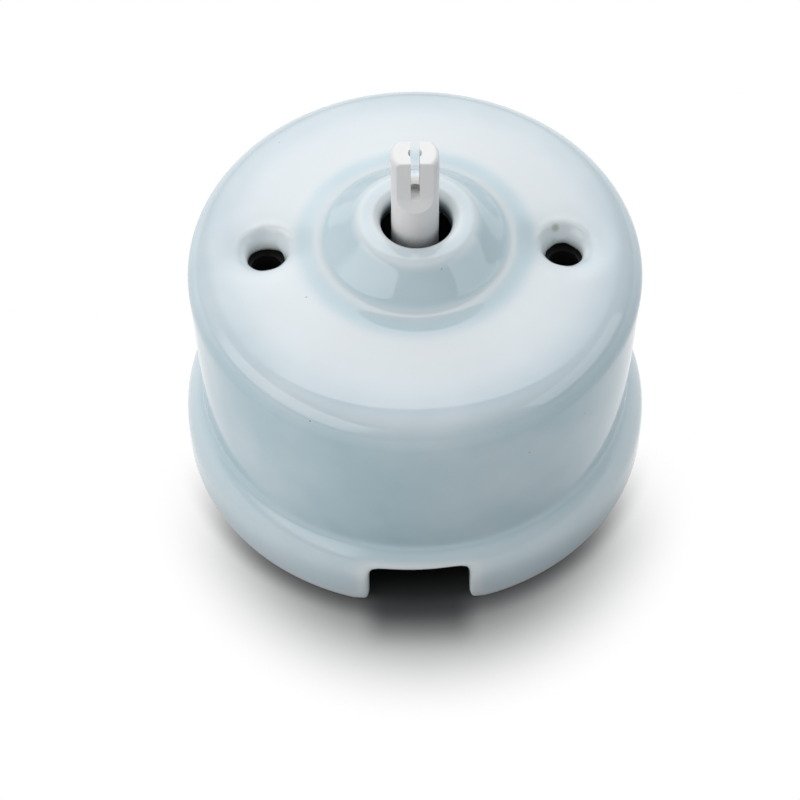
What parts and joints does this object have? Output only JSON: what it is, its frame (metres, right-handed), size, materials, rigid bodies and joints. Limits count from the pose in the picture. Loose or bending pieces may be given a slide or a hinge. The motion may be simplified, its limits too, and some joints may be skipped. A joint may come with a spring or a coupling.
{
  "type": "porcelain rotary switch",
  "caption": "Round glazed porcelain surface switch with a flared foot, raised collar, slotted turning spindle, cover-screw holes and a cable notch.",
  "frame": {"origin": "centre of the back, on the wall plane, under the spindle", "axes": "+Z along the spindle away from the wall, -Y towards the cable notch, the cover-screw holes along X"},
  "size_m": [0.065, 0.0641, 0.0575],
  "materials": {
    "porcelain": "glossy pale blue-white glaze",
    "black_moulding": "moulded, satin",
    "white_moulding": "moulded, satin",
    "brown_moulding": "moulded, satin",
    "brass": "machined",
    "bronze": "rolled strip",
    "spring_steel": "rolled strip",
    "screw_steel": "plated"
  },
  "bodies": {
    "housing": {"porcelain_cover": "porcelain", "base": "black_moulding", "bearing_plate": "black_moulding", "plate_screws": "screw_steel", "thrust_washer": "spring_steel", "detent_spring_front": "spring_steel", "detent_spring_back": "spring_steel", "common_link": "brass", "terminal_screws": "screw_steel", "post_inserts": "brass", "terminal_1": "brass", "terminal_2": "brass", "terminal_3": "brass", "terminal_4": "brass", "contact_finger_1": "bronze", "contact_finger_2": "bronze", "contact_finger_3": "bronze", "contact_finger_4": "bronze"},
    "turning_spindle": {"spindle": "white_moulding", "rotor": "brown_moulding", "contact_bar": "brass", "rotor_rivets": "brass"}
  },
  "joints": [
    {"name": "spindle_turn", "type": "hinge", "parent": "housing", "child": "turning_spindle", "pos_m": [0, 0, 0], "axis": [0, 0, 1], "continuous": true, "deforming": ["detent_spring_front", "detent_spring_back"]}
  ]
}
